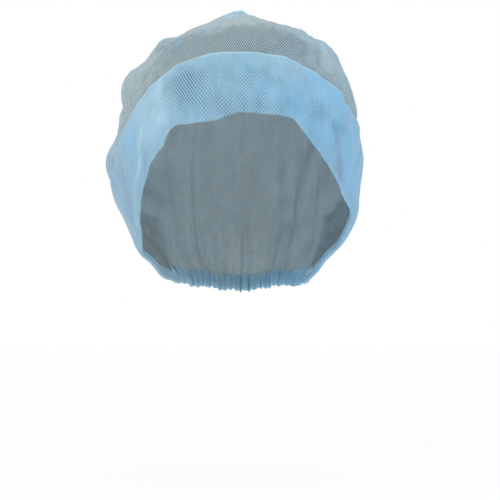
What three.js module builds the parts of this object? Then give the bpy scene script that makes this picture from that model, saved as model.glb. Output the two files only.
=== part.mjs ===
// A disposable hair cap of blue nonwoven, in the shape it takes on a wearer's head.
// Two single-ply crown panels meet in a seam that runs over the head from ear to ear. A strip folded
// double is sewn to the face edge and turned up over the crown as a cuff. Behind the ears the cuff ends,
// and a narrow casing with a flat elastic draws the edge in at the nape.
// Millimetres, +Z up, the face looks along -Y. The origin is the centre of the head at the height of the
// forehead edge. Cloth is drawn thicker than it is, so that each ply is a solid of its own.
import * as THREE from "three";
import { mergeVertices } from "three/addons/utils/BufferGeometryUtils.js";

// The head with its hair and ears, as an ellipsoid with its own half length in each direction.
const head = {
  centreY: 6,
  centreZ: -25,
  halfBreadth: 86,
  foreheadDepth: 97,
  backDepth: 108,
  crownRise: 99,
  napeDrop: 129,
};

// Heights of the cap's lower edge, and of the cuff's folded edge above it.
const edge = { forehead: 0, ear: -88, nape: -118 };
const cuffFold = { forehead: 42, ear: -33, nape: -70 };

// The lower edge hugs the cheek in front of the ears: the share by which it is drawn in, and the azimuth
// where that is most. The pull fades out over a height along the cloth.
const cheek = { drawnIn: 0.13, azimuth: 75, fadeHeight: 50 };

// Cloth and thread.
const ply = { crown: 1, cuff: 0.9, casing: 0.9 };
const gap = 0.35; // between two pieces that lie on each other
const hollowGap = 0.6; // the same inside the crown, where the facets bulge inwards
const foldGap = 0.8; // between the cuff's two plies
const crownSeam = { width: 2, ridge: 2.4, tuckRise: 3, tuckSpan: 9 };
const rimSeam = { height: 4, depth: 1.1 };
const cuffEndSeam = { width: 2.4 };

// The casing at the nape, its elastic and its stitching.
const casing = { height: 10, endAzimuth: 132 };
const elastic = { height: 6, thickness: 1 };
const elasticTack = { width: 9, depth: 1.1 };
const napeSeam = { height: 1.6, depth: 1 };

// How finely the cloth is faceted: degrees round the head, and rows up the cuff and above it. Pieces
// that lie on each other share these rows, so that their facets stay parallel.
const facet = { azimuth: 6, cuffRows: 5, crownRows: 8 };

const radians = THREE.MathUtils.degToRad;
const degrees = THREE.MathUtils.radToDeg;
const clamp = THREE.MathUtils.clamp;

const panelSplit = crownSeam.width + 2 * gap; // room for the seam between the crown's two panels
const cuffInner = ply.crown + gap; // offsets from the head, from the inside out
const cuffFoldInside = cuffInner + ply.cuff;
const cuffFoldOutside = cuffFoldInside + foldGap;
const cuffOuter = cuffFoldOutside + ply.cuff;
const casingOuter = 2 * ply.casing + elastic.thickness + 2 * gap;

// An angle up or round the head that spans a length of cloth.
const upTheHead = (length) => degrees(length / head.crownRise);
const roundTheHead = (length) => degrees(length / head.halfBreadth);

// The latitude on the head where the cloth is at height z.
function latitudeAt(z) {
  const rise = z - head.centreZ;
  return degrees(Math.asin(rise / (rise > 0 ? head.crownRise : head.napeDrop)));
}

// Latitude at an azimuth of a line round the head, from its heights at the forehead, the ears and the
// nape: azimuth 0 is the face and 180 is the nape.
function lineLatitude(line, azimuth) {
  const front = latitudeAt(line.forehead);
  const back = latitudeAt(line.nape);
  const middle = (front + back) / 2;
  const tilt = (front - back) / 2;
  const earDip = middle - latitudeAt(line.ear);
  return middle + tilt * Math.cos(radians(azimuth)) - earDip * Math.sin(radians(azimuth)) ** 2;
}

const edgeLatitude = (azimuth) => lineLatitude(edge, azimuth);
const foldLatitude = (azimuth) => lineLatitude(cuffFold, azimuth);

// The share by which the cloth is drawn in towards the head's axis.
function drawnIn(azimuth, latitude) {
  const turn = Math.abs(azimuth > 180 ? azimuth - 360 : azimuth);
  const round = Math.sin((Math.PI / 2) * clamp(turn / cheek.azimuth, 0, 2)) ** 2;
  const up = clamp((latitude - edgeLatitude(azimuth)) / upTheHead(cheek.fadeHeight), 0, 1);
  return cheek.drawnIn * round * (1 - up) ** 2;
}

// The face half and the back half of the head stand apart by the room for the crown's seam. Cloth that
// passes the ear without a seam goes straight across that room, within this azimuth either side.
const crossing = 0.1;
const crossings = [-90, 90].flatMap((ear) => [ear - crossing, ear + crossing]);

function poleAt(azimuth) {
  const side = clamp(Math.cos(radians(azimuth)) / Math.sin(radians(crossing)), -1, 1);
  return head.centreY - (side * panelSplit) / 2;
}

// The point at an azimuth and a latitude, at an offset out from the head.
function onHead(azimuth, latitude, offset, pole = poleAt(azimuth)) {
  const a = radians(azimuth);
  const b = radians(latitude);
  const depth = Math.cos(a) > 0 ? head.foreheadDepth : head.backDepth;
  const rise = latitude > 0 ? head.crownRise : head.napeDrop;
  const level = Math.cos(b) * (1 - drawnIn(azimuth, latitude));
  return new THREE.Vector3(
    (head.halfBreadth + offset) * level * Math.sin(a),
    pole - (depth + offset) * level * Math.cos(a),
    head.centreZ + (rise + offset) * Math.sin(b),
  );
}

// Numbers from first to last, in equal steps.
function spread(first, last, steps) {
  return Array.from({ length: steps + 1 }, (_, i) => first + ((last - first) * i) / steps);
}

// The ends, the stops, and each multiple of the facet's angle between the ends.
function azimuths(first, last, stops = []) {
  const grid = spread(0, 360, 360 / facet.azimuth).flatMap((turn) => [turn - 360, turn]);
  const inside = [...grid, ...stops].filter((azimuth) => azimuth > first && azimuth < last);
  return [...new Set([first, ...inside, last])].sort((a, b) => a - b);
}

// The crown's rows from its lower edge to the top of the head, where the cuff's fold is one of them.
function rowsUp(low, azimuth) {
  const fold = foldLatitude(azimuth);
  return [...spread(low, fold, facet.cuffRows), ...spread(fold, 90, facet.crownRows).slice(1)];
}

function signedVolume(position, index) {
  const corner = [new THREE.Vector3(), new THREE.Vector3(), new THREE.Vector3()];
  let volume = 0;
  for (let i = 0; i < index.length; i += 3) {
    corner.forEach((c, k) => c.fromBufferAttribute(position, index[i + k]));
    volume += corner[0].dot(corner[1].cross(corner[2])) / 6;
  }
  return volume;
}

// The triangles that close a section, turned like its outline.
function sectionTriangles(corners) {
  const normal = new THREE.Vector3();
  corners.forEach((corner, i) => {
    normal.add(new THREE.Vector3().crossVectors(corner, corners[(i + 1) % corners.length]));
  });
  const toPlane = new THREE.Quaternion().setFromUnitVectors(normal.normalize(), new THREE.Vector3(0, 0, 1));
  const flat = corners.map((corner) => {
    const { x, y } = corner.clone().applyQuaternion(toPlane);
    return new THREE.Vector2(x, y);
  });
  return THREE.ShapeUtils.triangulateShape(flat, []);
}

// A closed solid through a row of sections with equally many corners. The four-sided faces between two
// sections are cut along their shorter diagonal. Corners that fall together, as at the top of the
// crown, are joined, and what that leaves with two equal corners is dropped.
function sweptSolid(stations, outline, place) {
  const sections = stations.map((station) => outline(station).map((corner) => place(station, corner)));
  const count = sections[0].length;
  const points = sections.flat();
  const triangles = [];
  for (let s = 0; s + 1 < sections.length; s++) {
    for (let c = 0; c < count; c++) {
      const next = (c + 1) % count;
      const [a, b] = [s * count + c, s * count + next];
      const [d, e] = [a + count, b + count];
      if (points[a].distanceTo(points[e]) < points[b].distanceTo(points[d])) {
        triangles.push([a, d, e], [a, e, b]);
      } else {
        triangles.push([a, d, b], [d, e, b]);
      }
    }
  }
  const last = points.length - count;
  triangles.push(...sectionTriangles(sections[0]));
  triangles.push(...sectionTriangles(sections.at(-1)).map(([p, q, r]) => [last + r, last + q, last + p]));
  const loose = new THREE.BufferGeometry().setFromPoints(points).setIndex(triangles.flat());
  const solid = mergeVertices(loose, 1e-3);
  const kept = [];
  for (let i = 0; i < solid.index.count; i += 3) {
    const [p, q, r] = [0, 1, 2].map((k) => solid.index.getX(i + k));
    if (p !== q && q !== r && r !== p) kept.push(p, q, r);
  }
  if (signedVolume(solid.attributes.position, kept) < 0) kept.reverse();
  solid.setIndex(kept);
  solid.computeVertexNormals();
  return solid;
}

const cloth = { roughness: 0.9, metalness: 0 };
const finish = {
  crownMesh: new THREE.MeshStandardMaterial({ color: 0xa3c3d2, ...cloth }),
  cuffCloth: new THREE.MeshStandardMaterial({ color: 0x8dc1e0, ...cloth }),
  thread: new THREE.MeshStandardMaterial({ color: 0xb9dcee, roughness: 0.6, metalness: 0 }),
  rubber: new THREE.MeshStandardMaterial({ color: 0xf2f2ee, roughness: 0.7, metalness: 0 }),
};

function piece(name, geometry, material) {
  const mesh = new THREE.Mesh(geometry, material);
  mesh.name = name;
  return mesh;
}

// An outline that climbs the rows of a ply on its inside and comes back down on its outside.
function plyOutline(rows, inside, outside) {
  const down = [...rows].reverse();
  return [...rows.map((up) => [up, inside]), ...down.map((up) => [up, outside])];
}

// One half of the crown, from its lower edge to the top of the head.
function crownPanel(name, first, last, pole, lowerEdge) {
  const outline = (azimuth) => plyOutline(rowsUp(lowerEdge(azimuth), azimuth), 0, ply.crown);
  const place = (azimuth, [up, offset]) => onHead(azimuth, up, offset, pole);
  return piece(name, sweptSolid(azimuths(first, last, casingSteps), outline, place), finish.crownMesh);
}

// The crown steps up over the casing between two azimuths on each side.
const casingStart = casing.endAzimuth - roundTheHead(gap);
const stepStart = casingStart - roundTheHead(gap);
const casingSteps = [stepStart, casingStart, 360 - casingStart, 360 - stepStart];

function crownEdge(azimuth) {
  const overCasing = azimuth >= casingStart && azimuth <= 360 - casingStart;
  return edgeLatitude(azimuth) + (overCasing ? upTheHead(casing.height + gap) : 0);
}

// The overlocked seam from ear to ear. Above the cuff it stands up as a ridge, with a tuck at the top of
// the head where the two panels' cloth bunches. Under the cuff it lies flush with the crown.
function crownSeamRidge() {
  const tuckStart = 90 - upTheHead(crownSeam.tuckSpan);
  const rows = [...rowsUp(edgeLatitude(90), 90), tuckStart].sort((a, b) => a - b);
  const outline = (along) => {
    const latitude = Math.min(along, 180 - along);
    const risen = (start) => clamp((latitude - start) / upTheHead(crownSeam.ridge), 0, 1);
    const rise = crownSeam.ridge * risen(foldLatitude(90)) + crownSeam.tuckRise * risen(tuckStart);
    const half = crownSeam.width / 2;
    return [-half, half, half, -half].map((across, i) => [across, i < 2 ? 0 : ply.crown + rise]);
  };
  const place = (along, [across, offset]) => {
    const point = onHead(along > 90 ? 90 : 270, Math.min(along, 180 - along), offset);
    return point.setY(head.centreY + across);
  };
  const stations = [...new Set([...rows, ...rows.map((up) => 180 - up).reverse()])];
  return piece("crown_seam", sweptSolid(stations, outline, place), finish.thread);
}

// The cuff: one strip folded double along its upper edge, open at the bottom where it is sewn on.
function cuffBand() {
  const last = casing.endAzimuth - roundTheHead(cuffEndSeam.width + 2 * gap);
  const outline = (azimuth) => {
    const low = edgeLatitude(azimuth);
    const high = foldLatitude(azimuth);
    const turn = high - upTheHead(ply.cuff);
    return [
      ...spread(low, high, facet.cuffRows).map((up) => [up, cuffInner]),
      ...spread(high, low, facet.cuffRows).map((up) => [up, cuffOuter]),
      ...spread(low, turn, facet.cuffRows).map((up) => [up, cuffFoldOutside]),
      ...spread(turn, low, facet.cuffRows).map((up) => [up, cuffFoldInside]),
    ];
  };
  const place = (azimuth, [up, offset]) => onHead(azimuth, up, offset);
  return piece("cuff_band", sweptSolid(azimuths(-last, last, crossings), outline, place), finish.cuffCloth);
}

// The overlock seam inside the face edge, which joins the crown to the cuff's two plies.
function rimSeamThread() {
  const last = casing.endAzimuth - roundTheHead(elasticTack.width + 2 * gap);
  const outline = (azimuth) => {
    const low = edgeLatitude(azimuth);
    return plyOutline([low, low + upTheHead(rimSeam.height)], -hollowGap - rimSeam.depth, -hollowGap);
  };
  const place = (azimuth, [up, offset]) => onHead(azimuth, up, offset);
  return piece("rim_seam", sweptSolid(azimuths(-last, last, crossings), outline, place), finish.thread);
}

// The stitching that closes an end of the cuff onto the crown. A side of 1 is the wearer's left, at +X.
function cuffEndStitching(name, side) {
  const last = casing.endAzimuth - roundTheHead(gap);
  const first = last - roundTheHead(cuffEndSeam.width);
  const rows = (azimuth) => spread(edgeLatitude(azimuth), foldLatitude(azimuth), facet.cuffRows);
  const outline = (azimuth) => plyOutline(rows(azimuth), cuffInner, cuffOuter);
  const place = (azimuth, [up, offset]) => onHead(side * azimuth, up, offset);
  return piece(name, sweptSolid([first, last], outline, place), finish.thread);
}

// The zigzag tack inside the cloth, which holds an end of the elastic on one side.
function elasticTackStitching(name, side) {
  const last = casing.endAzimuth - roundTheHead(gap);
  const first = last - roundTheHead(elasticTack.width);
  const outline = (azimuth) => {
    const low = edgeLatitude(azimuth) + upTheHead((casing.height - elastic.height) / 2);
    return plyOutline([low, low + upTheHead(elastic.height)], -hollowGap - elasticTack.depth, -hollowGap);
  };
  const place = (azimuth, [up, offset]) => onHead(side * azimuth, up, offset);
  return piece(name, sweptSolid([first, (first + last) / 2, last], outline, place), finish.thread);
}

const overNape = azimuths(casing.endAzimuth, 360 - casing.endAzimuth);
const onNape = (azimuth, [up, offset]) => onHead(azimuth, up, offset);

// The casing: a strip folded upwards round the elastic, open along its top.
function napeCasing() {
  const outline = (azimuth) => {
    const low = edgeLatitude(azimuth);
    const high = low + upTheHead(casing.height);
    const floor = low + upTheHead(ply.casing);
    return [
      ...[low, high].map((up) => [up, 0]),
      ...[high, floor].map((up) => [up, ply.casing]),
      ...[floor, high].map((up) => [up, casingOuter - ply.casing]),
      ...[high, low].map((up) => [up, casingOuter]),
    ];
  };
  return piece("nape_casing", sweptSolid(overNape, outline, onNape), finish.cuffCloth);
}

function napeElastic() {
  const outline = (azimuth) => {
    const low = edgeLatitude(azimuth) + upTheHead((casing.height - elastic.height) / 2);
    const inside = ply.casing + gap;
    return plyOutline([low, low + upTheHead(elastic.height)], inside, inside + elastic.thickness);
  };
  return piece("nape_elastic", sweptSolid(overNape, outline, onNape), finish.rubber);
}

// The topstitching along the casing's upper edge.
function napeSeamThread() {
  const outline = (azimuth) => {
    const high = edgeLatitude(azimuth) + upTheHead(casing.height - gap);
    const inside = casingOuter + gap;
    return plyOutline([high - upTheHead(napeSeam.height), high], inside, inside + napeSeam.depth);
  };
  return piece("nape_seam", sweptSolid(overNape, outline, onNape), finish.thread);
}

const cap = new THREE.Group();
cap.add(
  crownPanel("crown_front_panel", -90, 90, head.centreY - panelSplit / 2, edgeLatitude),
  crownPanel("crown_rear_panel", 90, 270, head.centreY + panelSplit / 2, crownEdge),
  crownSeamRidge(),
  cuffBand(),
  rimSeamThread(),
  cuffEndStitching("left_cuff_end_seam", 1),
  cuffEndStitching("right_cuff_end_seam", -1),
  elasticTackStitching("left_elastic_tack", 1),
  elasticTackStitching("right_elastic_tack", -1),
);

const nape = new THREE.Group();
nape.add(napeCasing(), napeElastic(), napeSeamThread());
cap.add(nape);

export default cap;
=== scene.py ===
import math

import bpy
import numpy as np
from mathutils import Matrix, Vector


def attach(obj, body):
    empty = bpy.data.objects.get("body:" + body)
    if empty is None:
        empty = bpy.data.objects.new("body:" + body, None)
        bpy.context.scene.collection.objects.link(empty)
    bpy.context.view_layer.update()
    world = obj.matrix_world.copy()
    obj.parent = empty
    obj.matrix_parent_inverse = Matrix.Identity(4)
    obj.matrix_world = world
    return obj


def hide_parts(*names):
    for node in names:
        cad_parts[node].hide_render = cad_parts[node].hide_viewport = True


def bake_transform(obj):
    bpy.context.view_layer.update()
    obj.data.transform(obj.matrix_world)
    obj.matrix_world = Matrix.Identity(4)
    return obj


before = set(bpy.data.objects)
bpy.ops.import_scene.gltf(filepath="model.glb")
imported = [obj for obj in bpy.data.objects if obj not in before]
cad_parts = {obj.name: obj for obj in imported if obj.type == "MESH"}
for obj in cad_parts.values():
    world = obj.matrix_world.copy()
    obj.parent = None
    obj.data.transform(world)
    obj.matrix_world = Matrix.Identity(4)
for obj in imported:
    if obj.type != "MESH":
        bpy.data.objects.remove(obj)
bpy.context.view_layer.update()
mm = 0.001

# The head the cap is worn on: an ellipsoid with its own half length in each direction.
head = dict(centreY=6 * mm, centreZ=-25 * mm, halfBreadth=86 * mm, foreheadDepth=97 * mm,
            backDepth=108 * mm, crownRise=99 * mm, napeDrop=129 * mm)

# Heights of the lower edge and of the cuff's folded edge, as in the CAD part.
edgeLine = dict(forehead=0 * mm, ear=-88 * mm, nape=-118 * mm)
foldLine = dict(forehead=42 * mm, ear=-33 * mm, nape=-70 * mm)
cheek = dict(drawnIn=0.13, azimuth=75, fadeHeight=50 * mm)
panelSplit = 2.7 * mm
earBlend = 0.05  # how softly cloth without a seam passes from the front half to the back half
casingStart = 132  # degrees from the face, on either side

# How this cap sits: the edges wander by these millimetres at these azimuths, with the corners rounded
# off over some degrees. Azimuth 0 is the face, 90 the wearer's left and 180 the nape.
edgeWave = [(-180, 0), (-132, 0), (-105, 0.5), (-80, 4), (-71, 4), (-61, 3), (-52, 3.5), (-41, 1.5),
            (-38.5, 2.5), (-36.5, 7), (-31, 7.5), (-25, 2.5), (-17, -1.5), (-10, -2), (0, 2), (12, 2),
            (22, 5.5), (26, 7.5), (30, 2), (37, 0.5), (44, 0.5), (52, 4), (60, 6), (72, 11),
            (84, 13.5), (100, 9), (120, 3), (132, 0), (180, 0)]
foldWave = [(-180, 0), (-132, 0), (-112, -4), (-92, -8), (-76, -9), (-66, -6), (-58, -1), (-52, 5),
            (-45, 7.5), (-37, 6), (-28, 2.5), (-18, -2), (-8, -4), (2, -4), (12, -1.8), (22, 1.8),
            (32, 5.2), (42, 5.4), (52, 3.5), (62, 2.5), (72, 7), (84, 19), (98, 21), (112, 11),
            (125, 1.5), (132, 0), (180, 0)]
rounding = dict(edge=2, fold=7)

# Where the cloth stands proud of the head form or is pressed in: place, spread in degrees, and how far.
swells = [
    dict(azimuth=-94, latitude=29, across=17, up=10, out=8 * mm),
    dict(azimuth=-80, latitude=49, across=17, up=5.5, out=4 * mm),
    dict(azimuth=80, latitude=46, across=19, up=8, out=5.5 * mm),
    dict(azimuth=74, latitude=32, across=18, up=7, out=2 * mm),
    dict(azimuth=-118, latitude=-1.5, across=26, up=9, out=18 * mm),
    dict(azimuth=-100, latitude=-15, across=17, up=8, out=2 * mm),
    dict(azimuth=84, latitude=8, across=22, up=7, out=-7.5 * mm),
    dict(azimuth=90, latitude=59, across=14, up=5, out=1.8 * mm),
    dict(azimuth=-96, latitude=-24, across=20, up=12, out=-1.3 * mm),
    dict(azimuth=88, latitude=-8, across=26, up=9, out=-5 * mm),
    dict(azimuth=76, latitude=-24, across=14, up=9, out=6 * mm),
    dict(azimuth=112, latitude=-36, across=18, up=8, out=-5 * mm),
    dict(azimuth=-90, latitude=69, across=26, up=10, out=-5 * mm),
    dict(azimuth=90, latitude=74, across=26, up=10, out=-4 * mm),
    dict(azimuth=-93, latitude=-30, across=9, up=6, out=5 * mm),
    dict(azimuth=150, latitude=18, across=26, up=16, out=3 * mm),
    dict(azimuth=-160, latitude=32, across=22, up=13, out=2.5 * mm),
]

# Creases in the crown, each a line through places on the head. A negative depth is a ridge. A tone paints a
# highlight along the line.
creases = [
    dict(through=[(84, 57), (66, 48), (54, 37), (57, 20)], wide=3.6 * mm, deep=1.6 * mm),
    dict(through=[(72, 52), (66, 38), (70, 22)], wide=3 * mm, deep=1.1 * mm),
    dict(through=[(-4, 68), (-18, 60), (-40, 56)], wide=3.4 * mm, deep=1.2 * mm),
    dict(through=[(-69, 58), (-55, 53), (-47, 48)], wide=2.6 * mm, deep=-0.8 * mm, tone=1.4),
    dict(through=[(-82, 54), (-60, 41), (-54, 28)], wide=4 * mm, deep=-1.4 * mm),
    dict(through=[(-96, 16), (-84, 22), (-66, 30)], wide=4 * mm, deep=1.3 * mm),
    dict(through=[(20, 72), (34, 60), (38, 48)], wide=4 * mm, deep=1 * mm),
    dict(through=[(120, 50), (135, 30), (140, 5), (150, -15)], wide=5 * mm, deep=2 * mm),
    dict(through=[(-130, 42), (-140, 20), (-138, -5)], wide=5 * mm, deep=2.2 * mm),
    dict(through=[(176, 60), (170, 35), (178, 8)], wide=6 * mm, deep=1.6 * mm),
    dict(through=[(104, 26), (112, 6), (108, -8)], wide=4 * mm, deep=1.8 * mm),
]


def signed(azimuth):
    return (azimuth + 180) % 360 - 180


def latitudeAt(z):
    rise = z - head["centreZ"]
    return math.degrees(math.asin(rise / (head["crownRise"] if rise > 0 else head["napeDrop"])))


def lineLatitude(line, azimuth):
    front, ear, back = (latitudeAt(line[part]) for part in ("forehead", "ear", "nape"))
    middle, tilt = (front + back) / 2, (front - back) / 2
    turn = np.radians(azimuth)
    return middle + tilt * np.cos(turn) - (middle - ear) * np.sin(turn) ** 2


def upTheHead(length):  # degrees of latitude that a length of cloth spans
    return np.degrees(length / head["crownRise"])


def wander(wave, azimuth, spread):  # the height of a wave, rounded off over a spread of degrees
    stops, heights = zip(*wave)
    near = [np.interp(signed(azimuth) + step * spread, stops, heights) for step in (-1, -0.5, 0, 0.5, 1)]
    return np.mean(near, axis=0) * mm


def edgeLatitude(azimuth):
    return lineLatitude(edgeLine, azimuth) + upTheHead(wander(edgeWave, azimuth, rounding["edge"]))


def foldLatitude(azimuth):
    return lineLatitude(foldLine, azimuth) + upTheHead(wander(foldWave, azimuth, rounding["fold"]))


def drawnIn(azimuth, latitude):
    sideways = np.sin(np.pi / 2 * np.clip(abs(signed(azimuth)) / cheek["azimuth"], 0, 2)) ** 2
    up = (latitude - lineLatitude(edgeLine, azimuth)) / upTheHead(cheek["fadeHeight"])
    return cheek["drawnIn"] * sideways * (1 - np.clip(up, 0, 1)) ** 2


def direction(azimuth, latitude):
    turn, lift = np.radians(azimuth), np.radians(latitude)
    return np.stack([np.cos(lift) * np.sin(turn), -np.cos(lift) * np.cos(turn), np.sin(lift) + 0 * turn],
                    axis=-1)


def onHead(azimuth, latitude, offset, side=None):
    turn, lift = np.radians(azimuth), np.radians(latitude)
    if side is None:  # cloth that passes the ear without a seam
        side = np.clip(np.cos(turn) / earBlend, -1, 1)
    depth = np.where(np.cos(turn) > 0, head["foreheadDepth"], head["backDepth"])
    rise = np.where(latitude > 0, head["crownRise"], head["napeDrop"])
    level = np.cos(lift) * (1 - drawnIn(azimuth, latitude))
    return np.stack([(head["halfBreadth"] + offset) * level * np.sin(turn),
                     head["centreY"] - side * panelSplit / 2 - (depth + offset) * level * np.cos(turn),
                     head["centreZ"] + (rise + offset) * np.sin(lift)], axis=-1)


headRadius = 92 * mm  # the size at which directions become lengths of cloth


def rolling(place, wavelength, seed, waves=18):
    # Smooth waves in every direction, of about unit height.
    chance = np.random.default_rng(seed)
    heading = chance.normal(size=(waves, 3))
    heading /= np.linalg.norm(heading, axis=1)[:, None]
    heading *= (2 * np.pi / wavelength * chance.uniform(0.7, 1.4, waves))[:, None]
    start = chance.uniform(0, 2 * np.pi, waves)
    return np.sin(place @ heading.T + start).sum(axis=-1) * math.sqrt(2 / waves)


def lineDistance(place, through):
    stops = headRadius * np.array([direction(*stop) for stop in through])
    nearest = np.full(place.shape[:-1], np.inf)
    for first, last in zip(stops[:-1], stops[1:]):
        run = last - first
        along = np.clip((place - first) @ run / (run @ run), 0, 1)
        nearest = np.minimum(nearest, np.linalg.norm(place - first - along[..., None] * run, axis=-1))
    return nearest


# Beside a crease its shoulders rise by a share of its depth. Where they lie, how wide they are and how
# wide its painted light is are in widths of the crease.
creaseShape = dict(shoulder=0.45, shoulderAt=2, shoulderWide=1.1, paintedLightWide=0.8)


def patchesAt(azimuth, latitude, base, patches, amount="more"):
    # A base value, with soft patches added at places on the head.
    total = np.full(np.broadcast(azimuth, latitude).shape, float(base))
    for patch in patches:
        across = signed(azimuth - patch["azimuth"]) * np.cos(np.radians(latitude)) / patch["across"]
        up = (latitude - patch["latitude"]) / patch["up"]
        total = total + patch[amount] * np.exp(-across ** 2 - up ** 2)
    return total


def creased(place, lines):
    height = np.zeros(place.shape[:-1])
    for line in lines:
        away = lineDistance(place, line["through"]) / line["wide"]
        shoulder = np.exp(-((away - creaseShape["shoulderAt"]) / creaseShape["shoulderWide"]) ** 2)
        height -= line["deep"] * (np.exp(-away ** 2) - creaseShape["shoulder"] * shoulder)
    return height


def creasePaintedLight(place, lines):
    # Painted light along the lines that have a tone: a painted highlight, and painted shade where the tone is
    # negative.
    tone = np.zeros(place.shape[:-1])
    for line in lines:
        away = lineDistance(place, line["through"]) / (creaseShape["paintedLightWide"] * line["wide"])
        tone += line.get("tone", 0) * np.exp(-away ** 2)
    return tone


drape = dict(
    wide=(60 * mm, 1.0 * mm), middle=(26 * mm, 0.35 * mm), fine=(9 * mm, 0.06 * mm),  # wavelength, height
    foldsWavelength=34 * mm, foldsUpright=0.6, foldsBlunt=0.02, foldsDeep=0.8 * mm,
    seamPucker=0.2 * mm, seamPuckerPitch=8.5 * mm, seamPuckerDrift=(1.5, 11 * mm), seamPuckerReach=9 * mm,
    gatherPitch=6.5 * mm, gatherDrift=((1.3, 7.3 * mm), (0.8, 4.1 * mm)),
    gatherDeep=0.9 * mm, gatherReach=14 * mm,
    gatherHalf=82 * mm, gatherFade=7 * mm, gatherFrom=10 * mm,
    pleatPitch=19 * mm, pleatDrift=0.9, pleatDeep=2.5 * mm, pleatReach=46 * mm, pleatEased=0.65,
    apexFolds=9, apexDrift=2, apexDeep=0.9 * mm, apexReach=26 * mm, apexEase=8 * mm,
    knotAside=-5 * mm, knotRise=2.5 * mm, knotReach=11 * mm,
)


def gathers(azimuth, above):
    # What the elastic draws in: short gathers at the casing that merge into longer pleats above it.
    run = np.radians(signed(azimuth + 180)) * head["backDepth"]
    inside = 1 / (1 + np.exp((abs(run) - drape["gatherHalf"]) / drape["gatherFade"]))
    (much, slow), (little, quick) = drape["gatherDrift"]
    uneven = much * np.sin(run / slow) + little * np.sin(run / quick + 1)
    short = np.sin(2 * np.pi * run / drape["gatherPitch"] + uneven)
    pleats = np.sin(2 * np.pi * run / drape["pleatPitch"] + drape["pleatDrift"] * uneven)
    above = np.maximum(above, 0)
    nearby = np.exp(-above / drape["gatherReach"])
    return inside * (drape["gatherDeep"] * short * nearby
                     + drape["pleatDeep"] * pleats * np.exp(-above / drape["pleatReach"])
                     * (1 - drape["pleatEased"] * nearby))


def standing(azimuth, latitude):
    # How far the cloth stands off the head form. Every layer takes the same, so none cuts another.
    azimuth, latitude = np.broadcast_arrays(np.asarray(azimuth, float), np.asarray(latitude, float))
    place = headRadius * direction(azimuth, latitude)
    out = patchesAt(azimuth, latitude, 0, swells, "out")
    for seed, scale in enumerate(("wide", "middle", "fine")):
        wavelength, height = drape[scale]
        out += height * rolling(place, wavelength, seed + 11)
    fold = rolling(place * [1, 1, drape["foldsUpright"]], drape["foldsWavelength"], 5)
    out += drape["foldsDeep"] * (0.5 - np.sqrt(fold ** 2 + drape["foldsBlunt"]))
    out += creased(place, creases)
    # The seam over the head puckers.
    fromSeam = abs(place[..., 1])
    alongSeam = np.arctan2(place[..., 0], place[..., 2]) * headRadius
    much, slow = drape["seamPuckerDrift"]
    pucker = np.sin(2 * np.pi * alongSeam / drape["seamPuckerPitch"] + much * np.sin(alongSeam / slow))
    out += drape["seamPucker"] * pucker * np.exp(-fromSeam / drape["seamPuckerReach"])
    # The cloth is drawn up in folds to the knot of cloth at the top.
    fromKnot = np.linalg.norm(place - [drape["knotAside"], 0, headRadius], axis=-1)
    fromTop = np.linalg.norm(place - [0, 0, headRadius], axis=-1)
    turn = np.radians(azimuth)
    spokes = np.sin(turn * drape["apexFolds"] + drape["apexDrift"] * np.sin(2 * turn))
    spokes = spokes * fromTop / (fromTop + drape["apexEase"])
    out += drape["apexDeep"] * spokes * np.exp(-fromKnot / drape["apexReach"])
    out += drape["knotRise"] * np.exp(-(fromKnot / drape["knotReach"]) ** 2)
    height = (latitude - edgeLatitude(azimuth)) / upTheHead(1)
    return out + gathers(azimuth, height - drape["gatherFrom"])


def worn(azimuth, latitude, offset, side=None):
    azimuth, latitude = np.broadcast_arrays(np.asarray(azimuth, float), np.asarray(latitude, float))
    return onHead(azimuth, latitude, offset + standing(azimuth, latitude), side)


# Mesh parts: points, faces, and where each point lies on the flat cloth, in metres.
def gridFaces(rows, columns):
    corner = np.arange(rows * columns).reshape(rows, columns)
    square = [corner[:-1, :-1], corner[:-1, 1:], corner[1:, 1:], corner[1:, :-1]]
    return np.stack(square, axis=-1).reshape(-1, 4)


def lengthsAlong(path):  # how far along a path each of its points lies
    steps = np.linalg.norm(np.diff(path, axis=0), axis=-1)
    return np.concatenate([np.zeros((1,) + steps.shape[1:]), np.cumsum(steps, axis=0)])


def sheetPart(points, cloth, thickness, stretchAndPaintedLight=None):
    # A closed sheet about a grid of points.
    rows, columns = points.shape[:2]
    normal = np.cross(np.gradient(points, axis=1), np.gradient(points, axis=0))
    normal /= np.linalg.norm(normal, axis=-1, keepdims=True) + 1e-12
    both = np.concatenate([(points + normal * thickness / 2).reshape(-1, 3),
                           (points - normal * thickness / 2).reshape(-1, 3)])
    count = rows * columns
    top = gridFaces(rows, columns)
    corner = np.arange(count).reshape(rows, columns)
    rim = np.concatenate([corner[0, :], corner[1:, -1], corner[-1, -2::-1], corner[-2:0:-1, 0]])
    after = np.roll(rim, -1)
    sides = np.stack([rim + count, after + count, after, rim], axis=-1)
    faces = np.concatenate([top, top[:, ::-1] + count, sides])
    stretchAndPaintedLight = np.zeros((count, 2)) if stretchAndPaintedLight is None else stretchAndPaintedLight.reshape(-1, 2)
    return both, faces.tolist(), np.tile(cloth.reshape(-1, 2), (2, 1)), np.tile(stretchAndPaintedLight, (2, 1))


def sweepPart(origin, across, out, section):
    # A closed section carried along a path, with its two ends closed.
    steps, corners = len(origin), section.shape[-2]
    section = np.broadcast_to(section, (steps, corners, 2))
    points = origin[:, None] + across[:, None] * section[..., :1] + out[:, None] * section[..., 1:]
    around = lengthsAlong(section.mean(axis=0))
    cloth = np.stack(np.meshgrid(lengthsAlong(origin), around, indexing="ij"), axis=-1)
    ring = np.arange(steps * corners).reshape(steps, corners)
    after = np.roll(ring, -1, axis=1)
    faces = np.stack([ring[:-1], after[:-1], after[1:], ring[1:]], axis=-1).reshape(-1, 4).tolist()
    faces += [ring[0, ::-1].tolist(), ring[-1].tolist()]
    return points.reshape(-1, 3), faces, cloth.reshape(-1, 2), np.zeros((steps * corners, 2))


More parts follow.
